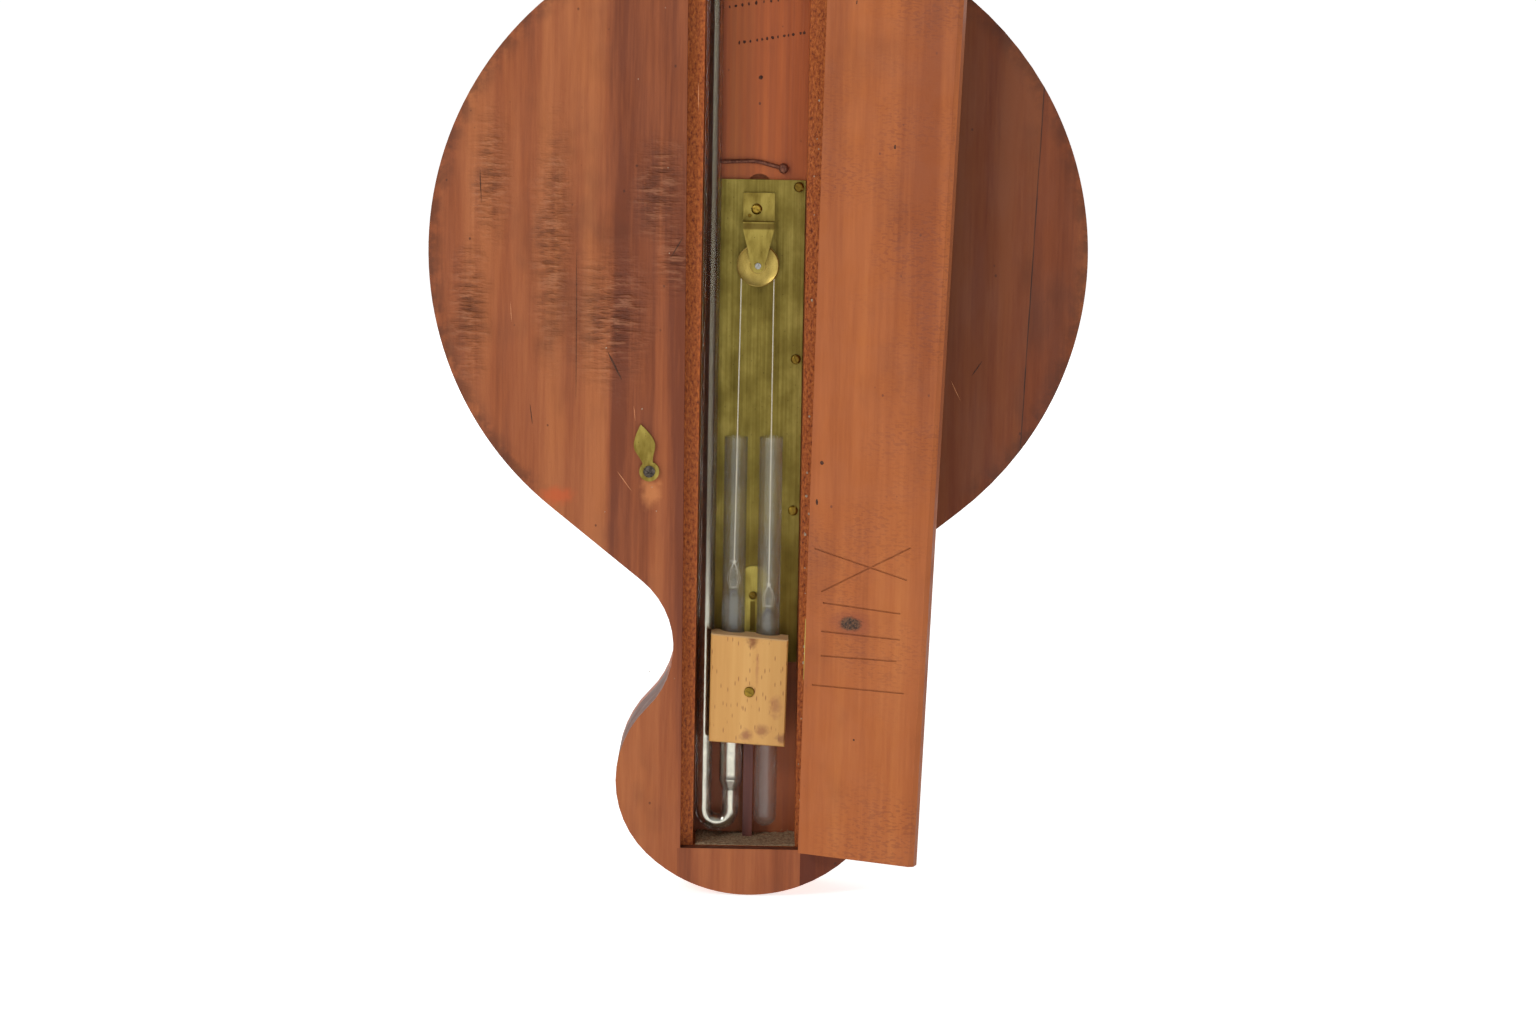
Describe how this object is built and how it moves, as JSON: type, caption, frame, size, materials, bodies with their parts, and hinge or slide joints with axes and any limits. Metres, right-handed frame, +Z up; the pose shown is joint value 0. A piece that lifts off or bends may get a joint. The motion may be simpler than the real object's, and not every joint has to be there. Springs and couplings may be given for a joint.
{
  "type": "ship barometer",
  "caption": "Wall-hung wheel barometer with a round mahogany case, siphon mercury tube, pulley movement, glazed dial and a long back trapdoor standing open.",
  "frame": {"origin": "middle of the hole in the hanging plate, on the back plane", "axes": "+Z up, the front faces -Y, +Y points into the wall, +X is the front view's right"},
  "size_m": [0.256, 0.093, 0.9766],
  "materials": {
    "case_wood": "old oiled mahogany, dry and crazed in places",
    "door_wood": "planed unfinished mahogany, aged orange",
    "front_veneer": "french polished mahogany veneer",
    "beech": "bare beech with stains",
    "dark_wood": "dark stained wood",
    "plate_brass": "sheet brass, dulled olive",
    "brass": "aged brass",
    "screw_brass": "aged brass",
    "bezel_brass": "lacquered brass",
    "silvered": "silvered brass, matt",
    "blued_steel": "heat blued",
    "steel": "dull steel",
    "iron": "rusted iron",
    "glass": "clear",
    "mercury": "liquid metal",
    "silk": "waxed silk thread",
    "spirit": "dyed spirit"
  },
  "bodies": {
    "case": {"arbor_bush": "brass", "bezel_hinge_leaf": "brass", "block_screws": "screw_brass", "bottom_plug": "case_wood", "catch_screws": "steel", "catch_side_board": "case_wood", "catch_side_cheek": "case_wood", "clamp_block": "beech", "cock_fasteners": "screw_brass", "cornice_moulding": "front_veneer", "counterweight_tube": "glass", "dial_plate": "silvered", "divider_post": "dark_wood", "door_hinge_case_leaves": "brass", "finial": "brass", "front_board": "case_wood", "front_screws": "screw_brass", "front_veneer": "front_veneer", "hanging_plate": "brass", "head_block": "case_wood", "hinge_pins": "steel", "hinge_side_board": "case_wood", "hinge_side_cheek": "case_wood", "hygrometer_bezel": "bezel_brass", "hygrometer_dial": "silvered", "hygrometer_glass": "glass", "mercury_column": "mercury", "movement_plate": "plate_brass", "pediment_scroll_left": "front_veneer", "pediment_scroll_right": "front_veneer", "pulley_cock": "brass", "round_head_screws": "screw_brass", "siphon_tube": "glass", "spirit_level_plate": "silvered", "spirit_level_vial": "glass", "thermometer_case": "front_veneer", "thermometer_glass": "glass", "thermometer_scale": "silvered", "thermometer_spirit": "spirit", "thermometer_tube": "glass", "tie_wire": "iron", "tongue_plate": "plate_brass", "tube_clips": "brass"},
    "door": {"trapdoor": "door_wood", "door_hinge_door_leaves": "brass"},
    "lower_button": {"lower_catch": "brass"},
    "upper_button": {"upper_catch": "brass"},
    "pulley_train": {"pulley": "brass", "pulley_arbor": "steel", "pointer": "blued_steel"},
    "float": {"glass_float": "glass", "float_thread": "silk", "limb_mercury": "mercury"},
    "counterweight": {"glass_counterweight": "glass", "counterweight_thread": "silk"},
    "dial_door": {"bezel_ring": "bezel_brass", "dial_glass": "glass"},
    "setting_hand": {"set_hand": "brass", "set_knob": "brass"},
    "humidity_hand": {"hygrometer_hand": "blued_steel"}
  },
  "joints": [
    {"name": "door_swing", "type": "hinge", "parent": "case", "child": "door", "pos_m": [-0.0216, 0.0012, -0.936], "axis": [-0.0147, 0, 0.9999], "range_deg": [-160, 17]},
    {"name": "lower_button_turn", "type": "hinge", "parent": "case", "child": "lower_button", "pos_m": [0.0411, 0.0013, -0.7856], "axis": [0, 1, 0], "continuous": true},
    {"name": "upper_button_turn", "type": "hinge", "parent": "case", "child": "upper_button", "pos_m": [0.0415, 0.0013, -0.3], "axis": [0, 1, 0], "continuous": true},
    {"name": "pointer_turn", "type": "hinge", "parent": "case", "child": "pulley_train", "pos_m": [0, -0.0215, -0.706], "axis": [0, 1, 0], "range_deg": [-170, 170]},
    {"name": "float_travel", "type": "slide", "parent": "case", "child": "float", "axis": [0, 0, 1], "range_m": [-0.0193, 0.0193], "stiffness_N_per_m": 4.3, "deforming": ["float_thread", "limb_mercury"]},
    {"name": "counterweight_travel", "type": "slide", "parent": "case", "child": "counterweight", "axis": [0, 0, 1], "range_m": [-0.0193, 0.0193], "deforming": ["counterweight_thread"]},
    {"name": "dial_door_swing", "type": "hinge", "parent": "case", "child": "dial_door", "pos_m": [-0.1165, -0.042, -0.706], "axis": [0, 0, -1], "range_deg": [0, 105]},
    {"name": "set_hand_turn", "type": "hinge", "parent": "dial_door", "child": "setting_hand", "pos_m": [0, -0.05, -0.706], "axis": [0, 1, 0], "continuous": true},
    {"name": "humidity_hand_turn", "type": "hinge", "parent": "case", "child": "humidity_hand", "pos_m": [0, -0.0415, -0.155], "axis": [0, 1, 0], "range_deg": [-150, 150]}
  ],
  "couplings": [
    {"joint": "float_travel", "follows": "pointer_turn", "m_per_rad": -0.0064},
    {"joint": "counterweight_travel", "follows": "pointer_turn", "m_per_rad": 0.0064}
  ]
}
